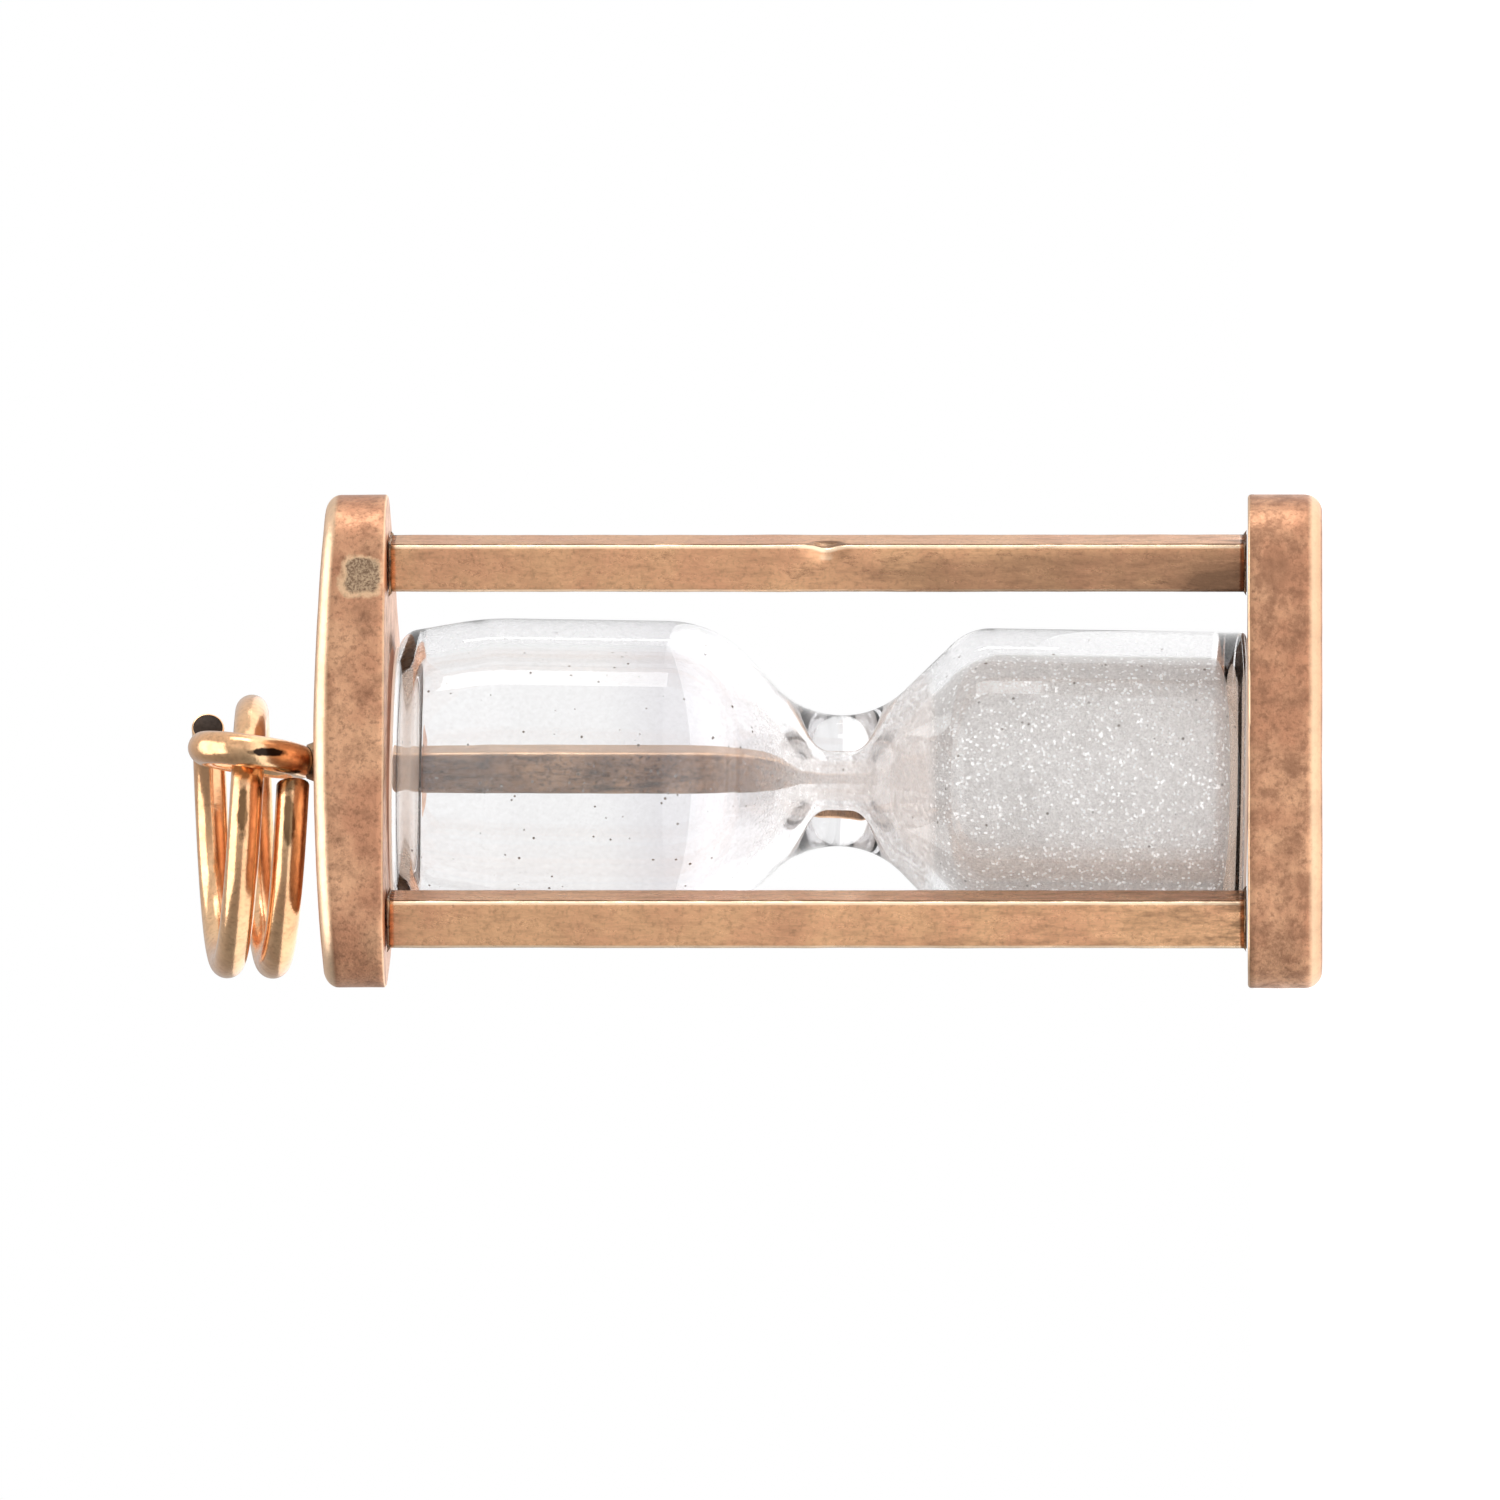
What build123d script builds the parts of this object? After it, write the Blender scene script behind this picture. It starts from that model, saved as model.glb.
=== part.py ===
"""Small gold hourglass charm: a blown glass vial between two rounded-triangle end plates.

Millimetres, +Z up along the hourglass, origin on the underside of the bottom plate, at the
middle of its three posts. -Y is the flat side between the two front posts.
"""

import os
from math import cos, radians, sin

from build123d import *

# Frame
post_circle = 4.1          # radius of the circle that the three posts stand on
post_angles = {"post_right": -30, "post_back": 90, "post_left": 210}
post_width = 1.0           # square wire
post_edge = 0.12           # rounding of its long edges
post_turn = -19            # the square wires are soldered on a little turned
clear_height = 17.08       # between the plates
corner_radius = 1.38       # of the plates, about each post

# End plates
bottom_thickness = 1.5
top_thickness = 1.54       # in the middle
dome_radius = 48           # of the top plate's outer face
outer_round = 0.35         # outer edge of both plates
inner_round = 0.08         # edge that faces the glass

# Solder round the posts' ends
solder_leg = 0.2
solder_rim = 0.03          # thickness left at the fillet's thin edge
solder_glass_gap = 0.06

# Glass vial: radii and heights in its own half section, measured from the bottom plate
vial_lean_direction = 147  # degrees; the vial stands off centre, towards this side
vial_offset_low = 0.84
vial_offset_high = 0.54
vial_end_gap = 0.06        # filled with cement
lower_bulb_radius = 3.10
upper_bulb_radius = 3.15
neck_height = 8.15
waist_corner_radius = 0.565   # where the two cones would meet if the waist weren't rounded
lower_shoulder = 5.615
upper_shoulder = 10.735
upper_taper_start = 15.3
upper_end_radius = 2.83
floor_thickness = 0.3
lower_bore_radius = 2.60
upper_bore_radius = 2.65
neck_bore_radius = 0.40
neck_bore_half = 0.60      # half the straight length of the narrow bore
lower_bore_shoulder = 5.45
upper_bore_shoulder = 10.90
upper_bore_taper_start = 15.2
upper_bore_end_radius = 2.30

# Sand
sand_top = 6.2             # measured from the bottom plate, like the vial
sand_gap = 0.02            # the grains lie against the glass without filling its curve

# Cement
cement_lower_radius = 2.7
cement_upper_radius = 2.2
cement_height = 0.2        # before the glass is pressed in

# Bail: a loop of round wire that stands on the top plate, leaning a little
bail_wire = 0.68
bail_radius = 0.97         # of the wire's centre line
bail_x = -0.10
bail_lean = 8              # degrees, its top towards +X
bail_sink = 0.02           # filed flat where it stands on the plate
bail_solder_radius = 0.42
bail_solder_rim_radius = 0.34
bail_solder_height = 0.20

# Split ring: an open coil of round wire that passes through the bail
ring_wire = 0.66
ring_radius = 2.53         # of the wire's centre line
ring_pitch = 0.92
ring_turns = 625 / 360
ring_tilt = 5.5            # degrees, its rear edge raised
ring_x = -1.58
ring_y = 2.01
ring_end_angle = 290       # where the coil's lower end is, about the coil's own axis
ring_end_height = 20.80    # of the coil's centre at that end

top_plate_base = bottom_thickness + clear_height
top_plate_top = top_plate_base + top_thickness
bail_z = top_plate_top + bail_radius + bail_wire / 2 - bail_sink
bail_plane = Plane(
    origin=(bail_x, 0, bail_z),
    z_dir=(cos(radians(bail_lean)), 0, -sin(radians(bail_lean))),
)


def vial_point(offset, height):
    """A point on the vial's leaning axis."""
    angle = radians(vial_lean_direction)
    return Vector(offset * cos(angle), offset * sin(angle), height)


vial_foot = vial_point(vial_offset_low, bottom_thickness)
vial_head = vial_point(vial_offset_high, top_plate_base)
vial_plane = Plane(
    origin=vial_foot, x_dir=(cos(radians(vial_lean_direction)), sin(radians(vial_lean_direction)), 0),
    z_dir=vial_head - vial_foot,
)
vial_section = Plane(origin=vial_foot, x_dir=vial_plane.x_dir, z_dir=-vial_plane.y_dir)

os.makedirs("parts", exist_ok=True)


def save(piece, name):
    """Name a finished piece and write it."""
    piece.part.label = name
    export_step(piece.part, f"parts/{name}.step")


# Bottom plate: flat, its outer edge rounded over
with BuildPart() as bottom_plate:
    with BuildSketch():
        with PolarLocations(post_circle, 3, start_angle=90):
            Circle(corner_radius)
        make_hull()
    extrude(amount=bottom_thickness)
    fillet(bottom_plate.faces().sort_by(Axis.Z)[0].edges(), radius=outer_round)
    fillet(bottom_plate.faces().sort_by(Axis.Z)[-1].edges(), radius=inner_round)
save(bottom_plate, "bottom_plate")

# Top plate: the same outline, with a slightly domed outer face
with BuildPart() as top_plate:
    with BuildSketch(Plane.XY.offset(top_plate_base)):
        with PolarLocations(post_circle, 3, start_angle=90):
            Circle(corner_radius)
        make_hull()
    extrude(amount=top_thickness)
    with Locations((0, 0, top_plate_top - dome_radius)):
        Sphere(dome_radius, mode=Mode.INTERSECT)
    fillet(top_plate.faces().sort_by(Axis.Z)[-1].edges(), radius=outer_round)
    fillet(top_plate.faces().sort_by(Axis.Z)[0].edges(), radius=inner_round)
save(top_plate, "top_plate")

# Posts: three square wires between the plates
for post_name, post_angle in post_angles.items():
    with BuildPart() as post:
        with BuildSketch(Plane.XY.offset(bottom_thickness)):
            with Locations((
                post_circle * cos(radians(post_angle)),
                post_circle * sin(radians(post_angle)),
            )):
                RectangleRounded(post_width, post_width, post_edge, rotation=post_turn)
        extrude(amount=clear_height)
    save(post, post_name)

# Glass vial: one closed tube, drawn in to a narrow neck, hollow all through
with BuildPart() as glass_vial:
    with BuildSketch(vial_section):
        with BuildLine():
            FilletPolyline(
                (0, vial_end_gap),
                (lower_bulb_radius, vial_end_gap),
                (lower_bulb_radius, lower_shoulder),
                (waist_corner_radius, neck_height),
                (upper_bulb_radius, upper_shoulder),
                (upper_bulb_radius, upper_taper_start),
                (upper_end_radius, clear_height - vial_end_gap),
                (0, clear_height - vial_end_gap),
                radius=[0.12, 1.1, 1.8, 2.2, 6.0, 0.45],
            )
            Line((0, clear_height - vial_end_gap), (0, vial_end_gap))
        make_face()
        with BuildLine():
            FilletPolyline(
                (0, floor_thickness),
                (lower_bore_radius, floor_thickness),
                (lower_bore_radius, lower_bore_shoulder),
                (neck_bore_radius, neck_height - neck_bore_half),
                (neck_bore_radius, neck_height + neck_bore_half),
                (upper_bore_radius, upper_bore_shoulder),
                (upper_bore_radius, upper_bore_taper_start),
                (upper_bore_end_radius, clear_height - floor_thickness),
                (0, clear_height - floor_thickness),
                radius=[0.6, 1.0, 0.8, 0.8, 1.8, 2.0, 0.7],
            )
            Line((0, clear_height - floor_thickness), (0, floor_thickness))
        make_face(mode=Mode.SUBTRACT)
    revolve(axis=Axis(vial_foot, vial_plane.z_dir))
save(glass_vial, "glass_vial")

# Sand: all of it in the lower bulb, levelled across the vial's axis
bore_cone = (lower_bore_radius - neck_bore_radius) / (
    neck_height - neck_bore_half - lower_bore_shoulder
)
sand_rim_radius = lower_bore_radius - (sand_top - lower_bore_shoulder) * bore_cone - 2 * sand_gap
with BuildPart() as sand:
    with BuildSketch(vial_section):
        with BuildLine():
            FilletPolyline(
                (0, floor_thickness + sand_gap),
                (lower_bore_radius - sand_gap, floor_thickness + sand_gap),
                (lower_bore_radius - sand_gap, lower_bore_shoulder - sand_gap),
                (sand_rim_radius, sand_top),
                (0, sand_top),
                radius=[0.6 - sand_gap, 1.0 - sand_gap, 0.05],
            )
            Line((0, sand_top), (0, floor_thickness + sand_gap))
        make_face()
    revolve(axis=Axis(vial_foot, vial_plane.z_dir))
save(sand, "sand")

# Cement: a thin bed between each end of the vial and its plate
with BuildPart() as vial_cement_lower:
    with BuildSketch(Plane.XY.offset(bottom_thickness)):
        with Locations((vial_foot.X, vial_foot.Y)):
            Circle(cement_lower_radius)
    extrude(amount=cement_height)
    add(glass_vial.part, mode=Mode.SUBTRACT)
save(vial_cement_lower, "vial_cement_lower")

with BuildPart() as vial_cement_upper:
    with BuildSketch(Plane.XY.offset(top_plate_base)):
        with Locations((vial_head.X, vial_head.Y)):
            Circle(cement_upper_radius)
    extrude(amount=-cement_height)
    add(glass_vial.part, mode=Mode.SUBTRACT)
save(vial_cement_upper, "vial_cement_upper")

# Solder: a small fillet round each end of each post, cut back beside the glass
post_centres = [
    (post_circle * cos(radians(angle)), post_circle * sin(radians(angle)))
    for angle in post_angles.values()
]
for solder_name, base, away, vial_end in (
    ("solder_bottom", bottom_thickness, 1, vial_foot),
    ("solder_top", top_plate_base, -1, vial_head),
):
    with BuildPart() as solder:
        with BuildSketch(Plane.XY.offset(base)):
            with Locations(*post_centres):
                RectangleRounded(
                    post_width + 2 * solder_leg, post_width + 2 * solder_leg,
                    post_edge + solder_leg, rotation=post_turn,
                )
        extrude(amount=away * solder_leg)
        thin_ends = solder.faces().group_by(Axis.Z)[-1 if away > 0 else 0]
        chamfer(thin_ends.edges(), length=solder_leg - solder_rim)
        with BuildSketch(Plane.XY.offset(base)):
            with Locations(*post_centres):
                RectangleRounded(post_width, post_width, post_edge, rotation=post_turn)
            with Locations((vial_end.X, vial_end.Y)):
                Circle(upper_bulb_radius + solder_glass_gap)
        extrude(amount=away * solder_leg, mode=Mode.SUBTRACT)
    save(solder, solder_name)

# Bail: the loop of round wire, its foot filed flat
with BuildPart(bail_plane) as bail_loop:
    Torus(bail_radius, bail_wire / 2)
    add(top_plate.part, mode=Mode.SUBTRACT)
save(bail_loop, "bail_loop")

# Solder at the bail's foot
bail_foot_x = bail_x - bail_radius * sin(radians(bail_lean))
with BuildPart() as bail_solder:
    with Locations((bail_foot_x, 0, top_plate_top - bail_solder_height)):
        Cylinder(bail_solder_radius, bail_solder_height, align=(Align.CENTER, Align.CENTER, Align.MIN))
    with Locations((bail_foot_x, 0, top_plate_top)):
        Cone(
            bail_solder_radius, bail_solder_rim_radius, bail_solder_height,
            align=(Align.CENTER, Align.CENTER, Align.MIN),
        )
    add(top_plate.part, mode=Mode.SUBTRACT)
    add(bail_loop.part, mode=Mode.SUBTRACT)
save(bail_solder, "bail_solder")

# Split ring: the wire wound left-handed upwards from its lower end, then tilted
ring_centre = (ring_x, ring_y, ring_end_height)
with BuildPart() as split_ring:
    with BuildLine() as coil:
        winding = Helix(
            ring_pitch, ring_pitch * ring_turns, ring_radius, center=ring_centre,
            lefthand=True, mode=Mode.PRIVATE,
        )
        turned = winding.rotate(Axis(ring_centre, (0, 0, 1)), ring_end_angle)
        add(turned.rotate(Axis(ring_centre, (1, 0, 0)), ring_tilt))
    with BuildSketch(Plane(origin=coil.line @ 0, z_dir=coil.line % 0)):
        Circle(ring_wire / 2)
    sweep(path=coil.line, is_frenet=True)
save(split_ring, "split_ring")
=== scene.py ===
from math import cos, pi, radians, sin, tan

import bmesh
import bpy
from mathutils import Matrix, Vector


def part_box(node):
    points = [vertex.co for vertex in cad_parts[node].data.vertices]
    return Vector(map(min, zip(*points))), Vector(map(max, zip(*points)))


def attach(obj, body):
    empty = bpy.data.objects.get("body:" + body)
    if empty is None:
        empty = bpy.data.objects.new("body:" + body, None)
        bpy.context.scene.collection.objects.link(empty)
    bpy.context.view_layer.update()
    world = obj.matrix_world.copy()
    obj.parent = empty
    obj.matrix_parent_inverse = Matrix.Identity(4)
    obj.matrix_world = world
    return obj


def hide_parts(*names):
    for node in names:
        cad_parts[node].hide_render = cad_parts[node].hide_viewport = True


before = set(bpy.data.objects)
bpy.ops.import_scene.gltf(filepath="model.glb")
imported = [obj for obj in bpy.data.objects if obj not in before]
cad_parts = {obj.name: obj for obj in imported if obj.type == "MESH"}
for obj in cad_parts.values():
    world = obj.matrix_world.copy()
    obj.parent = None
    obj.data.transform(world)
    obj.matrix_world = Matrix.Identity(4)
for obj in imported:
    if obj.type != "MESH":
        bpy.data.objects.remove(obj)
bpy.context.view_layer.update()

# Studio. The hourglass stands on a white table, and a long lens looks at its front from just
# above the table's level, rolled a quarter turn so that the bail points to the left.
view_turn = radians(-5)
view_distance = 0.320
view_width = 0.030
view_middle = Vector((0, 0, 0.01144))
eye_height = 0.0018
sensor = 0.036
towards_camera = Vector((sin(view_turn), -cos(view_turn), 0))

camera_data = bpy.data.cameras.new("camera")
camera_data.sensor_width = sensor * 1000
camera_data.lens = sensor * 1000 * view_distance / view_width
camera_data.clip_start = 0.01
camera_data.clip_end = 10
camera = bpy.data.objects.new("camera", camera_data)
bpy.context.scene.collection.objects.link(camera)
camera.location = towards_camera * view_distance + Vector((0, 0, eye_height))
back = (camera.location - view_middle).normalized()
right = Vector((0, 0, -1)) + back * back.z
right.normalize()
up = back.cross(right)
camera_turn = Matrix((right, up, back)).transposed().to_4x4()
camera.matrix_world = Matrix.Translation(camera.location) @ camera_turn
bpy.context.scene.camera = camera
bpy.context.scene.view_settings.view_transform = "Standard"


def node(tree, kind, **values):
    """A shader node with its settings and the plain values of its sockets."""
    made = tree.nodes.new(kind)
    for key, value in values.items():
        if hasattr(made, key):
            setattr(made, key, value)
        else:
            made.inputs[key.replace("_", " ")].default_value = value
    return made


# Seen straight on or through the glass, the studio is white. As a light it is dimmer than that,
# and it falls off from the key light's side to the other.
dim_side = 0.32
bright_side = 0.84
world = bpy.data.worlds.new("studio")
bpy.context.scene.world = world
world.use_nodes = True
world_tree = world.node_tree
world_light = world_tree.nodes["Background"]
world_light.inputs["Color"].default_value = (1, 1, 1, 1)
way = node(world_tree, "ShaderNodeTexCoord")
sideways = node(world_tree, "ShaderNodeSeparateXYZ")
falling_off = node(
    world_tree, "ShaderNodeMapRange", From_Min=-0.8, From_Max=0.8, To_Min=dim_side, To_Max=bright_side,
)
seen_white = node(world_tree, "ShaderNodeBackground", Color=(1, 1, 1, 1))
ray = node(world_tree, "ShaderNodeLightPath")
straight = node(world_tree, "ShaderNodeMath", operation="MAXIMUM")
which = node(world_tree, "ShaderNodeMixShader")
world_tree.links.new(way.outputs["Generated"], sideways.inputs[0])
world_tree.links.new(sideways.outputs["X"], falling_off.inputs["Value"])
world_tree.links.new(falling_off.outputs[0], world_light.inputs["Strength"])
world_tree.links.new(ray.outputs["Is Camera Ray"], straight.inputs[0])
world_tree.links.new(ray.outputs["Is Transmission Ray"], straight.inputs[1])
world_tree.links.new(straight.outputs[0], which.inputs[0])
world_tree.links.new(world_light.outputs[0], which.inputs[1])
world_tree.links.new(seen_white.outputs[0], which.inputs[2])
world_tree.links.new(which.outputs[0], world_tree.nodes["World Output"].inputs["Surface"])


def softbox(name, direction, distance, width, height, brightness):
    """A soft light at a distance from the hourglass's middle, facing it."""
    data = bpy.data.lights.new(name, "AREA")
    data.shape = "RECTANGLE"
    data.size = width
    data.size_y = height
    data.energy = brightness * pi * width * height
    lamp = bpy.data.objects.new(name, data)
    bpy.context.scene.collection.objects.link(lamp)
    lamp.location = view_middle + Vector(direction).normalized() * distance
    lamp.rotation_mode = "QUATERNION"
    lamp.rotation_quaternion = (lamp.location - view_middle).to_track_quat("Z", "Y")
    lamp.visible_camera = False
    lamp.visible_transmission = False


softbox("key", (1.0, -0.26, 0.1), 0.28, 0.10, 0.16, 3.6)
softbox("rim", (0.9, 0.45, 0.0), 0.30, 0.014, 0.12, 2.6)
softbox("head_light", (0.0, -0.20, 1.0), 0.28, 0.34, 0.30, 2.1)
softbox("front_fill", (0.30, -1.0, 0.25), 0.35, 0.16, 0.30, 0.20)

bpy.ops.object.select_all(action="DESELECT")
bpy.ops.mesh.primitive_circle_add(vertices=96, radius=1.0, fill_type="NGON")
table = bpy.context.object
table.name = "table"
table_paint = bpy.data.materials.new("table_paint")
table_paint.use_nodes = True
paint = table_paint.node_tree.nodes["Principled BSDF"]
paint.inputs["Base Color"].default_value = (0.5, 0.5, 0.5, 1)
paint.inputs["Roughness"].default_value = 0.9
paint.inputs["Specular IOR Level"].default_value = 0.0
paint.inputs["Emission Color"].default_value = (1, 1, 1, 1)
paint.inputs["Emission Strength"].default_value = 0.9
table.data.materials.append(table_paint)

# Bottom plate. A rounded triangle sawn from rose gold plate, its sides filed and its outer
# edge rounded over. Years of wear have left it satin and mottled, and its edges are lightened
# by wear and a painted highlight.
plate_low, plate_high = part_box("bottom_plate")
corner_radius = 0.00138
corner_circle = 0.0041         # through the middles of the rounded corners, and through the posts
outer_round = 0.00035
inner_round = 0.00008
disc_corners = 72
side_cuts = 60                 # along each straight side
side_rows = 9                  # from face to face
face_rings = 14
wave_size = 0.0016
wave_depth = 0.00003


def only(piece, wanted, kind):
    """Selects only the piece's edges or faces whose corners pass the test."""
    bpy.ops.mesh.select_all(action="DESELECT")
    bpy.ops.mesh.select_mode(type=kind)
    mesh = bmesh.from_edit_mesh(piece.data)
    for element in mesh.edges if kind == "EDGE" else mesh.faces:
        if wanted([v.co for v in element.verts]):
            element.select_set(True)
    bmesh.update_edit_mesh(piece.data)


def all_at(height):
    """A test for corners that all lie at one height."""
    return lambda corners: all(abs(c.z - height) < 1e-6 for c in corners)


def upright(corners):
    """A test for an edge that stands straight up."""
    return abs(corners[0].x - corners[1].x) + abs(corners[0].y - corners[1].y) < 1e-6


def roughen(piece, size, depth):
    """Gives a dense mesh the slight unevenness of hand work, all of it inwards from its surface."""
    cloud = bpy.data.textures.new(piece.name + "_unevenness", "CLOUDS")
    cloud.noise_scale = size
    cloud.noise_depth = 2
    waves = piece.modifiers.new("unevenness", "DISPLACE")
    waves.texture = cloud
    waves.strength = depth
    waves.mid_level = 1.0
    bpy.ops.object.modifier_apply(modifier=waves.name)


def end_plate(name, inner, outer):
    """A rounded-triangle plate from its inner to its outer face, finely divided.

    Three discs make its corners, and their hull makes its straight sides."""
    bpy.ops.object.select_all(action="DESELECT")
    bpy.ops.mesh.primitive_circle_add(
        vertices=disc_corners, radius=corner_radius, location=(0, corner_circle, inner),
    )
    plate = bpy.context.object
    plate.name = name
    bpy.ops.object.transform_apply(location=True, rotation=True, scale=True)
    bpy.ops.object.mode_set(mode="EDIT")
    bpy.ops.mesh.select_mode(type="VERT")
    bpy.ops.mesh.select_all(action="SELECT")
    bpy.ops.mesh.spin(steps=3, angle=2 * pi, dupli=True, center=(0, 0, inner), axis=(0, 0, 1))
    bpy.ops.mesh.select_all(action="SELECT")
    bpy.ops.mesh.extrude_region_move(TRANSFORM_OT_translate={"value": (0, 0, outer - inner)})
    bpy.ops.mesh.select_all(action="SELECT")
    bpy.ops.mesh.remove_doubles(threshold=1e-6)
    bpy.ops.mesh.select_all(action="SELECT")
    bpy.ops.mesh.convex_hull()
    bpy.ops.mesh.select_all(action="SELECT")
    bpy.ops.mesh.dissolve_limited(angle_limit=radians(1))
    bpy.ops.mesh.normals_make_consistent(inside=False)
    only(plate, lambda c: abs(c[0].z - c[1].z) < 1e-6 and (c[0] - c[1]).length > corner_radius, "EDGE")
    bpy.ops.mesh.subdivide(number_cuts=side_cuts)
    only(plate, all_at(outer), "EDGE")
    bpy.ops.mesh.bevel(offset=outer_round, segments=8, affect="EDGES")
    only(plate, all_at(inner), "EDGE")
    bpy.ops.mesh.bevel(offset=inner_round, segments=3, affect="EDGES")
    only(plate, lambda c: upright(c) and (c[0] - c[1]).length > outer_round * 2, "EDGE")
    bpy.ops.mesh.subdivide(number_cuts=side_rows)
    for face in (inner, outer):
        only(plate, all_at(face), "FACE")
        for ring in range(face_rings, 0, -1):
            shrink = (ring - 0.5) / (ring + 0.5)
            bpy.ops.mesh.extrude_region_move()
            bpy.ops.transform.resize(value=(shrink, shrink, 1), center_override=(0, 0, face))
    bpy.ops.object.mode_set(mode="OBJECT")
    return plate


def ramp(tree, source, low, high, top=1.0):
    """A share from 0 to top as the source goes from low to high."""
    made = node(tree, "ShaderNodeMapRange", From_Min=low, From_Max=high, To_Max=top)
    tree.links.new(source, made.inputs["Value"])
    return made.outputs[0]


def blend(tree, share, under, over, strength=1.0):
    """One colour laid over another by a share, at a strength."""
    if strength < 1:
        share = ramp(tree, share, 0, 1, strength)
    made = node(tree, "ShaderNodeMix", data_type="RGBA")
    tree.links.new(share, made.inputs["Factor"])
    for socket, colour in ((made.inputs["A"], under), (made.inputs["B"], over)):
        if isinstance(colour, tuple):
            socket.default_value = (*colour, 1)
        else:
            tree.links.new(colour, socket)
    return made.outputs["Result"]


def times(tree, one, other):
    """Two shares multiplied."""
    made = node(tree, "ShaderNodeMath", operation="MULTIPLY")
    tree.links.new(one, made.inputs[0])
    tree.links.new(other, made.inputs[1])
    return made.outputs[0]


def height_in(tree):
    """The height of a point of the surface above the table, in metres."""
    place = node(tree, "ShaderNodeTexCoord")
    height = node(tree, "ShaderNodeSeparateXYZ")
    tree.links.new(place.outputs["Object"], height.inputs[0])
    return height.outputs["Z"]


def pattern(tree, kind, **values):
    """A solid texture through the piece, at its place in the object."""
    place = node(tree, "ShaderNodeTexCoord")
    made = node(tree, kind, **values)
    tree.links.new(place.outputs["Object"], made.inputs["Vector"])
    return made


def coat(tree, colour):
    """Gives a material its finished colour."""
    tree.links.new(colour, tree.nodes["Principled BSDF"].inputs["Base Color"])


def facing(tree, way):
    """How much the surface faces a direction, from -1 to 1."""
    place = node(tree, "ShaderNodeTexCoord")
    made = node(tree, "ShaderNodeVectorMath", operation="DOT_PRODUCT")
    made.inputs[1].default_value = way
    tree.links.new(place.outputs["Normal"], made.inputs[0])
    return made.outputs["Value"]


def spot(tree, middle, reach, ragged, square=False):
    """A share that is 1 inside a spot with a ragged rim: its middle and reach in millimetres."""
    place = node(tree, "ShaderNodeTexCoord")
    inside = node(tree, "ShaderNodeMapping", vector_type="TEXTURE")
    inside.inputs["Location"].default_value = [m / 1000 for m in middle]
    inside.inputs["Scale"].default_value = [r / 1000 for r in reach]
    tree.links.new(place.outputs["Object"], inside.inputs["Vector"])
    offset = inside
    if square:
        offset = node(tree, "ShaderNodeVectorMath", operation="MULTIPLY")
        for socket in offset.inputs[:2]:
            tree.links.new(inside.outputs[0], socket)
    away = node(tree, "ShaderNodeVectorMath", operation="LENGTH")
    tree.links.new(offset.outputs[0], away.inputs[0])
    rim = node(tree, "ShaderNodeMath", operation="MULTIPLY_ADD")
    tree.links.new(ragged, rim.inputs[0])
    rim.inputs[1].default_value = 2.0
    tree.links.new(away.outputs["Value"], rim.inputs[2])
    return ramp(tree, rim.outputs[0], 2.15, 1.80)


def worn_gold(name, fresh, rosy, tarnish, grain=(1, 1, 1), dark=0.45, rough=(0.26, 0.46), bump=0.5):
    """Rose gold worn to a satin, with rosy patches, tarnished pores and fine scratches.

    Gives the material, its colour so far and its fine mottling, for more to be laid over them.
    The grain draws the mottling and the scratches out along the piece."""
    material = bpy.data.materials.new(name)
    material.use_nodes = True
    tree = material.node_tree
    link = tree.links.new
    gold = tree.nodes["Principled BSDF"]
    gold.inputs["Metallic"].default_value = 1.0
    place = node(tree, "ShaderNodeTexCoord")
    millimetres = node(tree, "ShaderNodeMapping", Scale=(1000, 1000, 1000))
    link(place.outputs["Object"], millimetres.inputs["Vector"])
    drawn = node(tree, "ShaderNodeMapping", Scale=grain)
    link(millimetres.outputs[0], drawn.inputs["Vector"])
    patches = node(tree, "ShaderNodeTexNoise", Scale=0.7, Detail=4.0, Roughness=0.6)
    mottle = node(tree, "ShaderNodeTexNoise", Scale=2.4, Detail=6.0, Roughness=0.7)
    pores = node(tree, "ShaderNodeTexNoise", Scale=11.0, Detail=3.0, Roughness=0.6)
    marks = node(tree, "ShaderNodeTexNoise", Scale=7.0, Detail=4.0, Roughness=0.6)
    for even in (patches, pores):
        link(millimetres.outputs[0], even.inputs["Vector"])
    for drawn_out in (mottle, marks):
        link(drawn.outputs[0], drawn_out.inputs["Vector"])
    colour = blend(tree, ramp(tree, patches.outputs[0], 0.40, 0.60), fresh, rosy)
    colour = blend(tree, ramp(tree, mottle.outputs[0], 0.48, 0.68, dark), colour, tarnish)
    colour = blend(tree, ramp(tree, pores.outputs[0], 0.50, 0.72, dark), colour, tarnish)
    link(colour, gold.inputs["Base Color"])
    polish = node(tree, "ShaderNodeMapRange", From_Min=0.3, From_Max=0.7, To_Min=rough[0], To_Max=rough[1])
    link(mottle.outputs[0], polish.inputs["Value"])
    link(polish.outputs[0], gold.inputs["Roughness"])
    dents = node(tree, "ShaderNodeBump", Strength=bump, Distance=0.00003)
    scratches = node(tree, "ShaderNodeBump", Strength=bump, Distance=0.000012)
    link(mottle.outputs[0], dents.inputs["Height"])
    link(marks.outputs[0], scratches.inputs["Height"])
    link(dents.outputs[0], scratches.inputs["Normal"])
    link(scratches.outputs[0], gold.inputs["Normal"])
    return material, colour, mottle.outputs[0]


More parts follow.
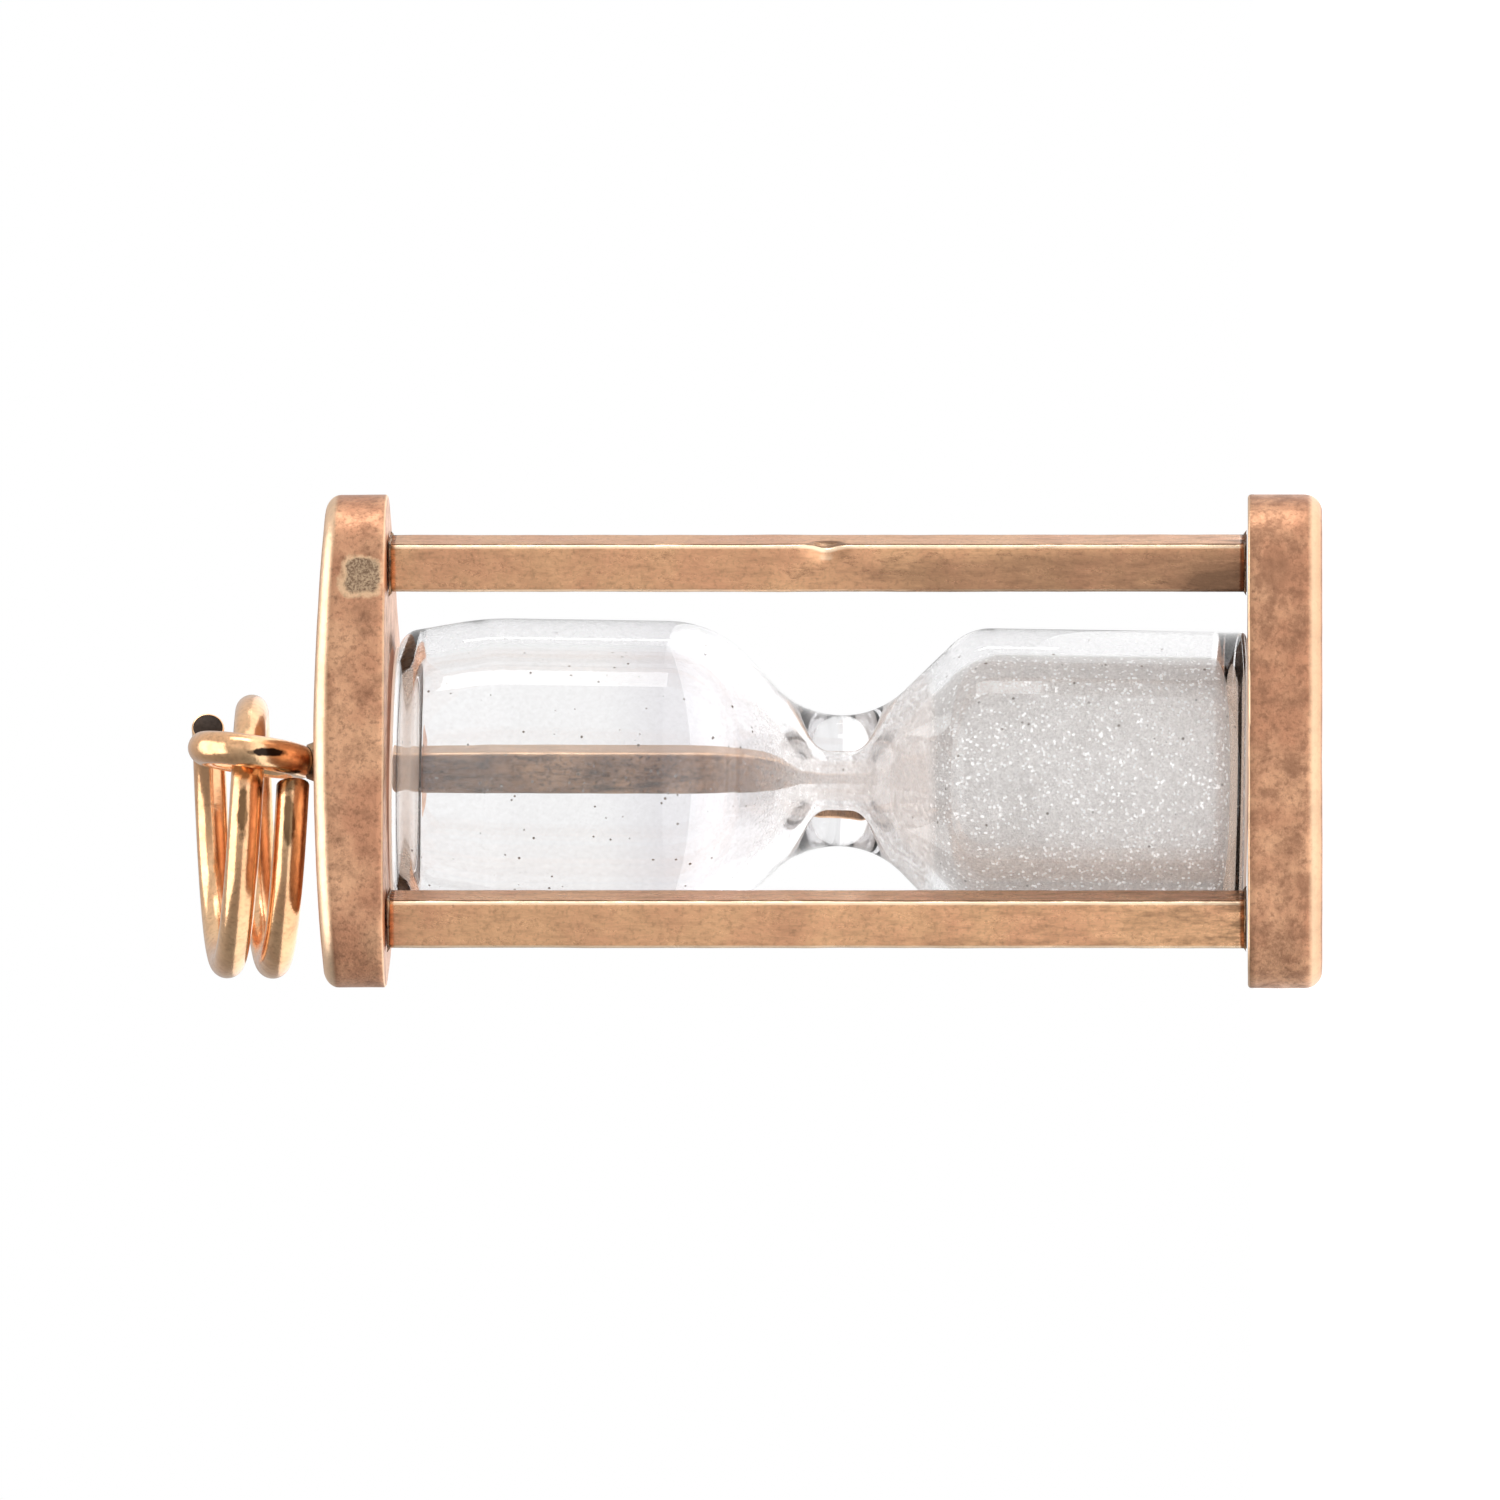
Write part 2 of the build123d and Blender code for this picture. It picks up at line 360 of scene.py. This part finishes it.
plate_gold, colour, mottling = worn_gold(
    "plate_gold", fresh=(0.68, 0.38, 0.225), rosy=(0.54, 0.265, 0.155), tarnish=(0.20, 0.10, 0.06),
    dark=0.62, rough=(0.30, 0.48),
)
plate_tree = plate_gold.node_tree
# The rounded edges of both faces are lightened to a pale gold: wear, and a painted highlight.
upward = node(plate_tree, "ShaderNodeMath", operation="ABSOLUTE")
plate_tree.links.new(facing(plate_tree, (0, 0, 1)), upward.inputs[0])
rounding = times(
    plate_tree, ramp(plate_tree, upward.outputs[0], 0.15, 0.45),
    ramp(plate_tree, upward.outputs[0], 0.99, 0.9),
)
colour = blend(plate_tree, rounding, colour, (0.99, 0.74, 0.50), strength=0.6)
# The bottom plate is darker in mottled patches, away from its rounded edges.
darker_bottom_plate = times(
    plate_tree, ramp(plate_tree, height_in(plate_tree), 0.010, 0.0, 0.6),
    ramp(plate_tree, mottling, 0.35, 0.62),
)
darker_bottom_plate = times(plate_tree, darker_bottom_plate, ramp(plate_tree, rounding, 0.8, 0))
colour = blend(plate_tree, darker_bottom_plate, colour, (0.30, 0.15, 0.09))
# A small square on the top plate's side is rubbed bright round its rim and granular inside.
worn_patch = spot(plate_tree, (3.18, -3.4, 19.04), (0.34, 0.6, 0.34), mottling, square=True)
worn_frame = spot(plate_tree, (3.16, -3.4, 19.08), (0.42, 0.6, 0.41), mottling, square=True)
colour = blend(plate_tree, worn_frame, colour, (0.95, 0.70, 0.44), strength=0.5)
granules = pattern(plate_tree, "ShaderNodeTexNoise", Scale=20000.0, Detail=4.0, Roughness=0.75)
granular = blend(
    plate_tree, ramp(plate_tree, granules.outputs[0], 0.42, 0.60), (0.22, 0.14, 0.09), (0.52, 0.37, 0.24),
)
colour = blend(plate_tree, worn_patch, colour, granular)
dark_oval = spot(plate_tree, (3.3, -3.4, 0.94), (0.40, 0.6, 0.28), mottling)
colour = blend(plate_tree, dark_oval, colour, (0.34, 0.17, 0.10), strength=0.55)
coat(plate_tree, colour)

bottom_plate = end_plate("bottom_plate_worn", plate_high.z, plate_low.z)
roughen(bottom_plate, wave_size, wave_depth)
bpy.ops.object.shade_smooth_by_angle(angle=radians(30))
bottom_plate.data.materials.append(plate_gold)
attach(bottom_plate, "hourglass")
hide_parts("bottom_plate")

# Top plate. Cut from the same gold as the bottom plate, with its outer face domed a little. It
# carries the bail.
top_low, top_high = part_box("top_plate")
dome_radius = 0.048
top_plate = end_plate("top_plate_worn", top_low.z, top_high.z)
for vertex in top_plate.data.vertices:
    share = (vertex.co.z - top_low.z) / (top_high.z - top_low.z)
    vertex.co.z -= share * (vertex.co.x ** 2 + vertex.co.y ** 2) / (2 * dome_radius)
roughen(top_plate, wave_size, wave_depth)
bpy.ops.object.shade_smooth_by_angle(angle=radians(30))
top_plate.data.materials.append(plate_gold)
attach(top_plate, "hourglass")
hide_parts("top_plate")

# Posts. Three lengths of square gold wire, soldered on between the plates a little turned.
# Their edges are rubbed bright and carry a painted highlight, the right one has an old knock in
# its front edge, and the back one, behind the glass, is painted darker as shade.
post_width = 0.001
post_edge = 0.00012
post_turn = radians(-19)
knock_height = 0.00986
knock_reach = 0.00038
knock_depth = 0.00014
knock_middle = 0.64            # of the post's width, from its centre towards the struck edge
post_cuts_across = 9
post_cuts_along = 240
post_wave_size = 0.0012
post_wave_depth = 0.00002
post_dark_brown = (0.10, 0.06, 0.035)
post_gold, colour, mottling = worn_gold(
    "post_gold", fresh=(0.84, 0.48, 0.265), rosy=(0.78, 0.41, 0.235), tarnish=(0.30, 0.17, 0.10),
    grain=(2.2, 2.2, 0.5), rough=(0.22, 0.40), bump=0.35,
)
post_tree = post_gold.node_tree
post_turned = Matrix.Rotation(post_turn, 3, "Z")
across = facing(post_tree, post_turned @ Vector((1, 0, 0)))
along = facing(post_tree, post_turned @ Vector((0, 1, 0)))
# The rounded edges are lightened: wear, and a painted highlight.
corner = node(post_tree, "ShaderNodeMath", operation="ABSOLUTE")
post_tree.links.new(times(post_tree, across, along), corner.inputs[0])
colour = blend(post_tree, ramp(post_tree, corner.outputs[0], 0.25, 0.42, 0.75), colour, (0.99, 0.80, 0.58))
# A thin dark line beside the top edge is a painted reflection of dark surroundings.
across_squared = times(post_tree, across, across)
dark_edge_reflection = times(
    post_tree, ramp(post_tree, across_squared, 0.66, 0.76), ramp(post_tree, across_squared, 0.995, 0.97),
)
dark_edge_reflection = times(post_tree, dark_edge_reflection, ramp(post_tree, mottling, 0.30, 0.50))
colour = blend(post_tree, dark_edge_reflection, colour, (0.16, 0.08, 0.04), strength=0.9)
# The posts are darker towards both plates, and faintly towards the bottom plate.
for start, end, darkness in ((0.0024, 0.0016, 0.6), (0.0100, 0.0030, 0.25), (0.0182, 0.0186, 0.6)):
    darker_by_height = times(
        post_tree, ramp(post_tree, height_in(post_tree), start, end, darkness),
        ramp(post_tree, mottling, 0.42, 0.62),
    )
    colour = blend(post_tree, darker_by_height, colour, post_dark_brown)
soot = spot(post_tree, (3.1, -2.6, 1.8), (0.32, 0.6, 1.2), mottling)
colour = blend(post_tree, soot, colour, (0.08, 0.05, 0.03), strength=0.8)
haze = spot(post_tree, (3.2, -2.5, 3.0), (0.55, 0.8, 6.5), mottling)
colour = blend(post_tree, haze, colour, (0.24, 0.13, 0.08), strength=0.55)
coat(post_tree, colour)

# The back post takes a darker copy of the post gold: painted shade, as it stands behind the glass.
back_post_shaded_gold, colour, mottling = worn_gold(
    "shaded_back_post_gold", fresh=(0.54, 0.33, 0.20), rosy=(0.30, 0.17, 0.10), tarnish=(0.07, 0.045, 0.03),
    grain=(2.2, 2.2, 0.5), dark=0.85, rough=(0.28, 0.48),
)
dark_tree = back_post_shaded_gold.node_tree
# The side that faces the key light is lightened: painted light.
lit_side = ramp(dark_tree, facing(dark_tree, post_turned @ Vector((1, 0, 0))), 0.3, 0.8, 0.5)
colour = blend(dark_tree, lit_side, colour, (0.88, 0.60, 0.40))
coat(dark_tree, colour)

for side in ("right", "left", "back"):
    low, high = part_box("post_" + side)
    middle = (low + high) / 2
    bpy.ops.object.select_all(action="DESELECT")
    bpy.ops.mesh.primitive_cube_add(
        size=1, location=middle, rotation=(0, 0, post_turn),
        scale=(post_width, post_width, high.z - low.z),
    )
    post = bpy.context.object
    post.name = f"post_{side}_worn"
    bpy.ops.object.transform_apply(location=True, rotation=True, scale=True)
    bpy.ops.object.mode_set(mode="EDIT")
    only(post, upright, "EDGE")
    bpy.ops.mesh.bevel(offset=post_edge, segments=6, affect="EDGES")
    only(post, lambda c: not upright(c) and (c[0] - c[1]).length > post_width / 2, "EDGE")
    bpy.ops.mesh.subdivide(number_cuts=post_cuts_across)
    only(post, upright, "EDGE")
    bpy.ops.mesh.subdivide(number_cuts=post_cuts_along)
    bpy.ops.object.mode_set(mode="OBJECT")
    roughen(post, post_wave_size, post_wave_depth)
    if side == "right":
        edge_way = post_turned @ Vector((1, -1, 0)).normalized()
        knock = middle + edge_way * post_width * knock_middle
        knock.z = knock_height
        for vertex in post.data.vertices:
            away = (vertex.co - knock).length / knock_reach
            if away < 1:
                vertex.co -= edge_way * knock_depth * (1 - away * away) ** 2
    bpy.ops.object.shade_smooth()
    post.data.materials.append(back_post_shaded_gold if side == "back" else post_gold)
    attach(post, "hourglass")
    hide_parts("post_" + side)

# Solder. It ran into the corners where the posts and the bail meet the plates, in a thin uneven
# collar, and has since darkened.
collar_height = 0.00010
collar_rim = 0.00007
collar_width = post_width + 2 * collar_rim
collar_cuts = 11
solder_wave_size = 0.0004
solder_wave_depth = 0.00008
dark_solder = worn_gold(
    "dark_solder", fresh=(0.42, 0.26, 0.15), rosy=(0.22, 0.14, 0.09), tarnish=(0.05, 0.035, 0.03),
    dark=0.9, rough=(0.35, 0.6), bump=0.8,
)[0]
for name, base, rise in (
    ("solder_bottom", plate_high.z, collar_height), ("solder_top", top_low.z, -collar_height),
):
    bpy.ops.object.select_all(action="DESELECT")
    for side in ("right", "left", "back"):
        low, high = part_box("post_" + side)
        middle = (low + high) / 2
        bpy.ops.mesh.primitive_plane_add(
            size=collar_width, location=(middle.x, middle.y, base), rotation=(0, 0, post_turn),
        )
        collar = bpy.context.object
        bpy.ops.object.transform_apply(location=True, rotation=True, scale=True)
        bpy.ops.object.mode_set(mode="EDIT")
        bpy.ops.mesh.select_all(action="SELECT")
        bpy.ops.mesh.subdivide(number_cuts=collar_cuts)
        bpy.ops.mesh.extrude_region_move(TRANSFORM_OT_translate={"value": (0, 0, rise)})
        bpy.ops.transform.resize(value=(post_width / collar_width, post_width / collar_width, 1))
        bpy.ops.mesh.select_all(action="SELECT")
        bpy.ops.mesh.normals_make_consistent(inside=False)
        bpy.ops.object.mode_set(mode="OBJECT")
        collar.name = f"{name}_{side}"
        roughen(collar, solder_wave_size, solder_wave_depth)
        bpy.ops.object.shade_smooth()
        collar.data.materials.append(dark_solder)
        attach(collar, "hourglass")
        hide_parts(name)

bail_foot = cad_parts["bail_solder"]
bail_foot.data.materials.clear()
bail_foot.data.materials.append(dark_solder)

# Glass vial. Blown from one clear tube, drawn in to a narrow neck and sealed at both ends, it
# leans a little in the frame.
lean_way = radians(147)
foot_offset = 0.00084
head_offset = 0.00054
inside_low = plate_high.z
inside_high = top_low.z
glass_steps = 128
end_gap = 0.00006              # at each end, for the cement
low_radius = 0.00310
high_radius = 0.00315
neck_height = 0.00815
waist_corner = 0.000565
low_shoulder = 0.005615
high_shoulder = 0.010735
taper_start = 0.0153
end_radius = 0.00283
clear_length = inside_high - inside_low
vial_foot = Vector((foot_offset * cos(lean_way), foot_offset * sin(lean_way), inside_low))
vial_head = Vector((head_offset * cos(lean_way), head_offset * sin(lean_way), inside_high))
vial_turn = (vial_head - vial_foot).to_track_quat("Z", "Y").to_matrix().to_4x4()
vial_stand = Matrix.Translation(vial_foot) @ vial_turn


def rounded(corners, radii, spacing=0.00008):
    """A half section's points: the corners in order, those between the ends rounded."""
    corners = [Vector(c) for c in corners]
    points = [corners[0]]
    for before, corner, after, radius in zip(corners, corners[1:], corners[2:], radii):
        back_way = (before - corner).normalized()
        on_way = (after - corner).normalized()
        half = back_way.angle(on_way) / 2
        middle = corner + (back_way + on_way).normalized() * radius / sin(half)
        start = corner + back_way * radius / tan(half) - middle
        finish = corner + on_way * radius / tan(half) - middle
        count = max(4, int(start.angle(finish) * radius / spacing))
        for i in range(count + 1):
            points.append(middle + start.slerp(finish, i / count).normalized() * radius)
    points.append(corners[-1])
    return points


def turned(name, section, steps):
    """Spins a half section of (radius, height) points about Z into a closed smooth shell."""
    bpy.ops.object.select_all(action="DESELECT")
    bpy.ops.mesh.primitive_plane_add(size=0.001, location=(0, 0, 0))
    shell = bpy.context.object
    shell.name = name
    bpy.ops.object.mode_set(mode="EDIT")
    bpy.ops.mesh.select_mode(type="VERT")
    bpy.ops.mesh.select_all(action="SELECT")
    bpy.ops.mesh.merge(type="CENTER")
    bpy.ops.transform.translate(value=(section[0].x, 0, section[0].y))
    for here, there in zip(section, section[1:]):
        bpy.ops.mesh.extrude_region_move(
            TRANSFORM_OT_translate={"value": (there.x - here.x, 0, there.y - here.y)}
        )
    bpy.ops.mesh.select_all(action="SELECT")
    bpy.ops.mesh.spin(steps=steps, angle=2 * pi, center=(0, 0, 0), axis=(0, 0, 1))
    bpy.ops.mesh.select_all(action="SELECT")
    bpy.ops.mesh.remove_doubles(threshold=1e-7)
    bpy.ops.mesh.normals_make_consistent(inside=False)
    bpy.ops.object.mode_set(mode="OBJECT")
    bpy.ops.object.shade_smooth()
    return shell


outside = turned("glass_vial_blown", rounded(
    [
        (0, end_gap), (low_radius, end_gap), (low_radius, low_shoulder), (waist_corner, neck_height),
        (high_radius, high_shoulder), (high_radius, taper_start),
        (end_radius, clear_length - end_gap), (0, clear_length - end_gap),
    ],
    [0.00012, 0.0011, 0.0018, 0.0022, 0.006, 0.00045],
), glass_steps)
bore_floor = 0.00018           # measured like the end gap, from the plate's face
sand_top = 0.0062
low_bore = 0.00260
high_bore = 0.00265
neck_bore = 0.0004
neck_bore_half = 0.0006        # half the length of the straight narrow bore
low_bore_shoulder = 0.00545
high_bore_shoulder = 0.0109
bore_taper_start = 0.0152
bore_end_radius = 0.0023
inside = turned("vial_bore", rounded(
    [
        (0, bore_floor), (low_bore, bore_floor), (low_bore, low_bore_shoulder),
        (neck_bore, neck_height - neck_bore_half), (neck_bore, neck_height + neck_bore_half),
        (high_bore, high_bore_shoulder), (high_bore, bore_taper_start),
        (bore_end_radius, clear_length - bore_floor), (0, clear_length - bore_floor),
    ],
    [0.0006, 0.001, 0.0008, 0.0008, 0.0018, 0.002, 0.0007],
), glass_steps)
bpy.ops.object.mode_set(mode="EDIT")
bpy.ops.mesh.select_all(action="SELECT")
bpy.ops.mesh.flip_normals()
bpy.ops.object.mode_set(mode="OBJECT")
for shell, share in ((outside, 0.0), (inside, 1.0)):
    bore = shell.data.attributes.new("bore", "FLOAT", "POINT")
    for value in bore.data:
        value.value = share
bpy.ops.object.select_all(action="DESELECT")
inside.select_set(True)
outside.select_set(True)
bpy.context.view_layer.objects.active = outside
bpy.ops.object.join()
vial = bpy.context.object
vial.data.transform(vial_stand)
blown_glass = bpy.data.materials.new("blown_glass")
blown_glass.use_nodes = True
glass_tree = blown_glass.node_tree
clear = glass_tree.nodes["Principled BSDF"]
clear.inputs["Roughness"].default_value = 0.0
clear.inputs["IOR"].default_value = 1.48
clear.inputs["Specular IOR Level"].default_value = 0.35
greyness = node(glass_tree, "ShaderNodeVolumeAbsorption", Density=300.0)
greyness.inputs["Color"].default_value = (0.80, 0.795, 0.81, 1)
glass_tree.links.new(greyness.outputs[0], glass_tree.nodes["Material Output"].inputs["Volume"])
vial.data.materials.append(blown_glass)

# The bore keeps a film of sand dust, thick in the lower cone and thin above the neck, with dark
# specks, and the shoulder over the neck is a little cloudy.
film_top = 0.0026              # above the neck
film_full = 0.0010             # below the neck
film_painted_glow = 0.19
cloudy_from = 0.0008
cloudy_to = 0.0048
on_bore = node(glass_tree, "ShaderNodeAttribute", attribute_name="bore")
height = height_in(glass_tree)
film = pattern(glass_tree, "ShaderNodeTexNoise", Scale=9000.0, Detail=5.0, Roughness=0.75)
speck_cells = pattern(glass_tree, "ShaderNodeTexVoronoi", Scale=3600.0)
neck_level = inside_low + neck_height
sand_level = inside_low + sand_top
low_film = times(
    glass_tree, ramp(glass_tree, height, neck_level + film_top, neck_level - film_full, 0.95),
    ramp(glass_tree, height, sand_level - 0.0002, sand_level),
)
low_film = times(glass_tree, low_film, on_bore.outputs["Fac"])
dust = node(glass_tree, "ShaderNodeMath", operation="MULTIPLY_ADD")
glass_tree.links.new(low_film, dust.inputs[0])
glass_tree.links.new(ramp(glass_tree, film.outputs[0], 0.2, 0.6), dust.inputs[1])
glass_tree.links.new(ramp(glass_tree, film.outputs[0], 0.40, 0.75, 0.10), dust.inputs[2])
specks = times(
    glass_tree, ramp(glass_tree, speck_cells.outputs["Distance"], 0.12, 0.07),
    ramp(glass_tree, speck_cells.outputs["Color"], 0.50, 0.55),
)
covered = node(glass_tree, "ShaderNodeMath", operation="MAXIMUM")
glass_tree.links.new(dust.outputs[0], covered.inputs[0])
glass_tree.links.new(specks, covered.inputs[1])
covered_bore = times(glass_tree, covered.outputs[0], on_bore.outputs["Fac"])
dust_colour = blend(glass_tree, specks, (0.90, 0.84, 0.80), (0.30, 0.26, 0.22))
shoulder_haze = times(
    glass_tree, ramp(glass_tree, height, neck_level + cloudy_from, neck_level + 2 * cloudy_from),
    ramp(glass_tree, height, neck_level + cloudy_to, neck_level + 0.0035),
)
hazed = blend(glass_tree, shoulder_haze, (1.0, 1.0, 1.0), (0.935, 0.93, 0.942))
glass_colour = blend(glass_tree, covered_bore, hazed, dust_colour)
glass_tree.links.new(glass_colour, clear.inputs["Base Color"])
let_through = node(glass_tree, "ShaderNodeMath", operation="SUBTRACT")
let_through.inputs[0].default_value = 1.0
glass_tree.links.new(covered_bore, let_through.inputs[1])
glass_tree.links.new(let_through.outputs[0], clear.inputs["Transmission Weight"])
# The dust film glows a little: painted light on the film.
clear.inputs["Emission Color"].default_value = (1.0, 0.94, 0.91, 1)
glass_tree.links.new(ramp(glass_tree, low_film, 0, 1, film_painted_glow), clear.inputs["Emission Strength"])
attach(vial, "hourglass")
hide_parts("glass_vial")

# Sand. Fine white sand with clear grains, all run down into the lower bulb and levelled. The
# glints of its grains and a faint glow over all of it are painted light. It lies loose in the glass.
sand_gap = 0.00002
bore_cone = (low_bore - neck_bore) / (neck_height - neck_bore_half - low_bore_shoulder)
sand_rim = low_bore - (sand_top - low_bore_shoulder) * bore_cone - 2 * sand_gap
sand = turned("sand_fill", rounded(
    [
        (0, bore_floor + sand_gap), (low_bore - sand_gap, bore_floor + sand_gap),
        (low_bore - sand_gap, low_bore_shoulder - sand_gap), (sand_rim, sand_top), (0, sand_top),
    ],
    [0.0006 - sand_gap, 0.001 - sand_gap, 0.00005],
), glass_steps)
sand.data.transform(vial_stand)
sand_material = bpy.data.materials.new("white_sand")
sand_material.use_nodes = True
sand_tree = sand_material.node_tree
grit = sand_tree.nodes["Principled BSDF"]
grains = pattern(sand_tree, "ShaderNodeTexVoronoi", Scale=24000.0)
clumps = pattern(sand_tree, "ShaderNodeTexNoise", Scale=1800.0, Detail=4.0)
grain_tone = ramp(sand_tree, grains.outputs["Color"], 0.1, 0.9)
shade = blend(sand_tree, grain_tone, (0.66, 0.62, 0.60), (0.93, 0.90, 0.88))
clumped = ramp(sand_tree, clumps.outputs[0], 0.45, 0.75, 0.35)
shade = blend(sand_tree, clumped, shade, (0.60, 0.55, 0.52))
# Glinting grains are painted white and glow more than the rest: painted glints. All the sand glows
# faintly: painted light in place of what the glass keeps from it.
glint = ramp(sand_tree, grains.outputs["Color"], 0.81, 0.83)
coat(sand_tree, blend(sand_tree, glint, shade, (1.0, 1.0, 1.0)))
grit.inputs["Emission Color"].default_value = (1, 0.98, 0.96, 1)
sand_glow = node(sand_tree, "ShaderNodeMapRange", From_Min=0.81, From_Max=0.83, To_Min=0.135, To_Max=0.5)
sand_tree.links.new(grains.outputs["Color"], sand_glow.inputs["Value"])
sand_tree.links.new(sand_glow.outputs[0], grit.inputs["Emission Strength"])
grit.inputs["Roughness"].default_value = 0.5
bumps = node(sand_tree, "ShaderNodeBump", Strength=0.6, Distance=0.00003)
sand_tree.links.new(grains.outputs["Distance"], bumps.inputs["Height"])
sand_tree.links.new(bumps.outputs[0], grit.inputs["Normal"])
sand.data.materials.append(sand_material)
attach(sand, "hourglass")
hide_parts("sand")

# Cement. A thin bed of yellowed cement under each end of the vial holds it to the plate. It
# was pressed flat when the vial went in and has squeezed out to the glass's rim.
bed_gap = 0.000005
bed_bulge = 0.00003
bed_steps = 96
low_bed_inset = 0.00012
high_bed_inset = 0.00030
cement = bpy.data.materials.new("yellowed_cement")
cement.use_nodes = True
resin = cement.node_tree.nodes["Principled BSDF"]
resin.inputs["Roughness"].default_value = 0.4
# The cement glows a little: painted light on beds that lie in the shade of the gap under the glass.
resin.inputs["Emission Color"].default_value = (0.88, 0.74, 0.64, 1)
resin.inputs["Emission Strength"].default_value = 0.35
cloudy = pattern(cement.node_tree, "ShaderNodeTexNoise", Scale=2500.0, Detail=4.0)
coat(cement.node_tree, blend(cement.node_tree, cloudy.outputs[0], (0.66, 0.44, 0.32), (0.86, 0.66, 0.52)))
for name, start, rim in (
    ("vial_cement_lower", 0, low_radius - low_bed_inset),
    ("vial_cement_upper", clear_length - end_gap, end_radius - high_bed_inset),
):
    bed = turned(name + "_bed", rounded(
        [
            (0, start + bed_gap), (rim, start + bed_gap), (rim + bed_bulge, start + end_gap / 2),
            (rim, start + end_gap - bed_gap), (0, start + end_gap - bed_gap),
        ],
        [0.00001, 0.00002, 0.00001],
    ), bed_steps)
    bed.data.transform(vial_stand)
    bed.data.materials.append(cement)
    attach(bed, "hourglass")
    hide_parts(name)

# Bail. A closed loop of round gold wire, soldered on edge to the middle of the top plate and
# leaning a little. The ring's rubbing keeps it bright.
bail_radius = 0.00097
bail_wire = 0.00068
bail_lean = radians(8)
bail_sink = 0.00002
bail_wave_size = 0.0007
bail_wave_depth = 0.00002
bail_middle = Vector((-0.0001, 0, top_high.z + bail_radius + bail_wire / 2 - bail_sink))
bail_gold, colour, mottling = worn_gold(
    "bail_gold", fresh=(0.95, 0.62, 0.35), rosy=(0.90, 0.52, 0.28), tarnish=(0.30, 0.16, 0.08),
    dark=0.3, rough=(0.12, 0.26), bump=0.25,
)
bail_tree = bail_gold.node_tree
pitted = spot(bail_tree, (-0.15, -1.25, 21.0), (0.08, 0.3, 0.42), mottling)
colour = blend(bail_tree, pitted, colour, (0.03, 0.02, 0.015))
coat(bail_tree, colour)
bpy.ops.object.select_all(action="DESELECT")
bpy.ops.mesh.primitive_torus_add(
    major_radius=bail_radius, minor_radius=bail_wire / 2, major_segments=120, minor_segments=48,
    location=bail_middle, rotation=(0, pi / 2 + bail_lean, 0),
)
bail = bpy.context.object
bail.name = "bail_wire_loop"
bpy.ops.object.transform_apply(location=True, rotation=True, scale=True)
roughen(bail, bail_wave_size, bail_wave_depth)
bpy.ops.object.shade_smooth()
bail.data.materials.append(bail_gold)
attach(bail, "hourglass")
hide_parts("bail_loop")

# Split ring. Round gold wire wound into an open coil of nearly two turns and threaded through
# the bail, where it hangs free. Its ends are sawn off flat and have gone dark.
ring_wire = 0.00066
ring_radius = 0.00253
ring_pitch = 0.00092
ring_turns = 625 / 360
ring_tilt = radians(5.5)
ring_end_angle = radians(290)
ring_middle = Vector((-0.00158, 0.00201, 0.02080))
ring_steps = 300
sawn_edge = 0.00003
bpy.ops.object.select_all(action="DESELECT")
bpy.ops.mesh.primitive_circle_add(
    vertices=40, radius=ring_wire / 2, location=(ring_radius, 0, 0), rotation=(pi / 2, 0, 0),
)
ring = bpy.context.object
ring.name = "split_ring_coil"
bpy.ops.object.transform_apply(location=True, rotation=True, scale=True)
winding = ring.modifiers.new("winding", "SCREW")
winding.angle = -2 * pi * ring_turns
winding.screw_offset = ring_pitch * ring_turns
winding.steps = ring_steps
winding.render_steps = ring_steps
winding.use_merge_vertices = False
bpy.ops.object.modifier_apply(modifier=winding.name)
bpy.ops.object.mode_set(mode="EDIT")
bpy.ops.mesh.select_all(action="SELECT")
bpy.ops.mesh.select_mode(type="EDGE")
bpy.ops.mesh.select_all(action="DESELECT")
bpy.ops.mesh.select_non_manifold()
bpy.ops.mesh.edge_face_add()
bpy.ops.mesh.bevel(offset=sawn_edge, segments=2, affect="EDGES")
bpy.ops.mesh.select_all(action="SELECT")
bpy.ops.mesh.normals_make_consistent(inside=False)
bpy.ops.object.mode_set(mode="OBJECT")
ring.data.transform(
    Matrix.Translation(ring_middle) @ Matrix.Rotation(ring_tilt, 4, "X")
    @ Matrix.Rotation(ring_end_angle, 4, "Z")
)
bpy.ops.object.shade_smooth_by_angle(angle=radians(40))
ring_gold, colour, mottling = worn_gold(
    "ring_gold", fresh=(0.94, 0.60, 0.34), rosy=(0.88, 0.50, 0.27), tarnish=(0.28, 0.15, 0.08),
    dark=0.3, rough=(0.12, 0.26), bump=0.25,
)
ring_tree = ring_gold.node_tree
for middle, reach in (
    ((-0.72, -0.4, 20.75), (0.26, 0.6, 0.5)), ((-1.35, -0.8, 21.54), (0.55, 0.3, 0.11)),
    ((-1.45, -0.8, 20.62), (0.60, 0.3, 0.11)),
):
    stain = spot(ring_tree, middle, reach, mottling)
    colour = blend(ring_tree, stain, colour, (0.13, 0.07, 0.03), strength=0.85)
coat(ring_tree, colour)
sawn_end = worn_gold(
    "sawn_end", fresh=(0.07, 0.05, 0.04), rosy=(0.04, 0.03, 0.025), tarnish=(0.02, 0.015, 0.012),
    rough=(0.4, 0.6),
)[0]
ring.data.materials.append(ring_gold)
ring.data.materials.append(sawn_end)
# Only the two sawn ends have more than four corners.
for face in ring.data.polygons:
    if len(face.vertices) > 4:
        face.material_index = 1
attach(ring, "ring")
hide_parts("split_ring")
